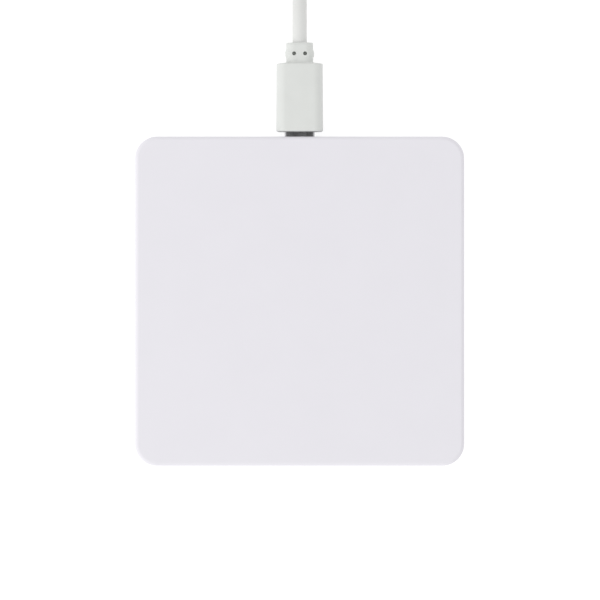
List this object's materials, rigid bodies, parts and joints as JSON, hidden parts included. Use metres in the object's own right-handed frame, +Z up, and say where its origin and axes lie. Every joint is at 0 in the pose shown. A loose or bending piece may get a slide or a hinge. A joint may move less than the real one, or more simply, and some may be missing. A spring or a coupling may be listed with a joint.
{
  "type": "wireless charging pad",
  "caption": "Square wireless charging pad with rounded corners, a micro-USB socket in one edge, and its plug-in USB cable, coiled and tied.",
  "frame": {"origin": "under the middle of the pad, on the plane that its feet stand on", "axes": "+Z up through the charging face; +Y out of the socket, along the cable"},
  "size_m": [0.0775, 0.2, 0.0088],
  "materials": {
    "case_plastic": "fine moulded grain",
    "foot_rubber": "matte",
    "zinc_steel": "zinc plated",
    "adhesive_film": "tacky film",
    "litz_copper": "enamelled copper strands",
    "ferrite": "sintered, satin",
    "black_epoxy": "moulded epoxy",
    "board_green": "solder resist",
    "capacitor_tan": "fired ceramic with tinned ends",
    "led_resin": "clear resin",
    "clear_plastic": "clear polycarbonate",
    "socket_steel": "nickel plated",
    "black_plastic": "moulded",
    "gold_contact": "gold flash",
    "plug_steel": "nickel plated",
    "inner_mould": "hard moulded core",
    "grip_plastic": "soft, satin",
    "cord_jacket": "soft, satin",
    "tie_plastic": "thin flat strap",
    "white_plastic": "moulded"
  },
  "bodies": {
    "pad": {"top_cover": "case_plastic", "bottom_cover": "case_plastic", "rubber_feet": "foot_rubber", "cover_screws": "zinc_steel", "coil_adhesive": "adhesive_film", "charging_coil": "litz_copper", "coil_leads": "litz_copper", "ferrite_sheet": "ferrite", "thermistor": "black_epoxy", "circuit_board": "board_green", "controller_chip": "black_epoxy", "bridge_mosfets": "black_epoxy", "resonant_capacitors": "capacitor_tan", "filter_capacitors": "capacitor_tan", "chip_resistors": "black_epoxy", "status_led": "led_resin", "light_pipe": "clear_plastic", "socket_shell": "socket_steel", "socket_tongue": "black_plastic", "socket_contacts": "gold_contact"},
    "cable": {"plug_shell": "plug_steel", "plug_insulator": "black_plastic", "plug_contacts": "gold_contact", "plug_latches": "plug_steel", "plug_inner_mould": "inner_mould", "plug_overmould": "grip_plastic", "cord_lead": "cord_jacket", "cord_coil": "cord_jacket", "cord_tail": "cord_jacket", "cable_tie": "tie_plastic", "usb_a_shell": "plug_steel", "usb_a_insulator": "white_plastic", "usb_a_contacts": "gold_contact", "usb_a_inner_mould": "inner_mould", "usb_a_overmould": "grip_plastic"}
  },
  "joints": [
    {"name": "plug_slide", "type": "slide", "parent": "pad", "child": "cable", "axis": [0, 1, 0], "range_m": [0, 0.012]}
  ]
}
